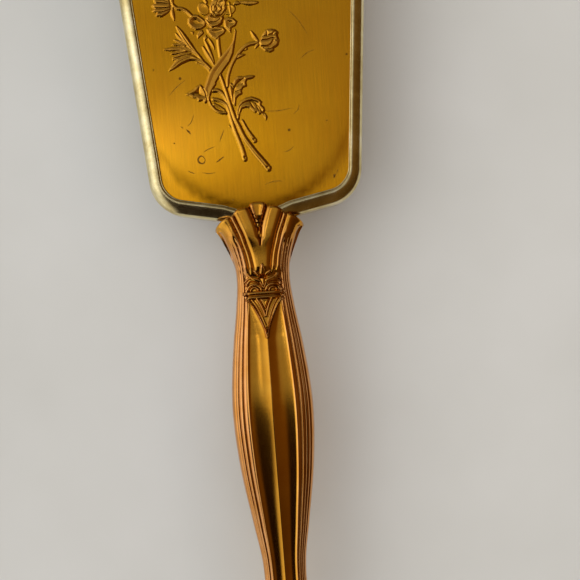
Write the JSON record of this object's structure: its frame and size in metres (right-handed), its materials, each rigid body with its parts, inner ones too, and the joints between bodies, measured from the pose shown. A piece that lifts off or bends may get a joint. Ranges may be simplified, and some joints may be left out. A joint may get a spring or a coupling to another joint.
{
  "type": "vanity hairbrush",
  "caption": "Vanity hairbrush with a gilt metal back panel held in a rounded rim, drawn bristle tufts in a wooden block, and a fluted two-shell metal handle with a palmette at its neck.",
  "frame": {"origin": "middle of the brush's footprint, on the plane of the bristle tips", "axes": "+Y from the handle to the far end of the head, +Z out of the back panel, +X across the head; X = 0 is the plane of symmetry"},
  "size_m": [0.0782, 0.2444, 0.0287],
  "materials": {
    "rim_brass": "polished olive gilt",
    "panel_brass": "brushed ochre gilt",
    "handle_brass": "polished copper gilt, darkened in the grooves",
    "pin_brass": "plain, slightly tarnished",
    "card": "plain grey card",
    "block_wood": "lacquered",
    "core_wood": "plain",
    "bristle": "cream nylon filament",
    "steel": "plain"
  },
  "bodies": {
    "root": {"rim_frame": "rim_brass", "back_panel": "panel_brass", "panel_backing_card": "card", "bristle_block": "block_wood", "bristle_row_1": "bristle", "bristle_row_2": "bristle", "bristle_row_3": "bristle", "bristle_row_4": "bristle", "bristle_row_5": "bristle", "bristle_row_6": "bristle", "bristle_row_7": "bristle", "bristle_row_8": "bristle", "bristle_row_9": "bristle", "handle_front_shell": "handle_brass", "handle_back_shell": "handle_brass", "handle_core": "core_wood", "tang": "steel", "tang_screw_1": "steel", "tang_screw_2": "steel", "core_pin_1": "pin_brass", "core_pin_2": "pin_brass", "rim_pin_1": "pin_brass", "rim_pin_2": "pin_brass", "rim_pin_3": "pin_brass", "rim_pin_4": "pin_brass"}
  },
  "joints": []
}
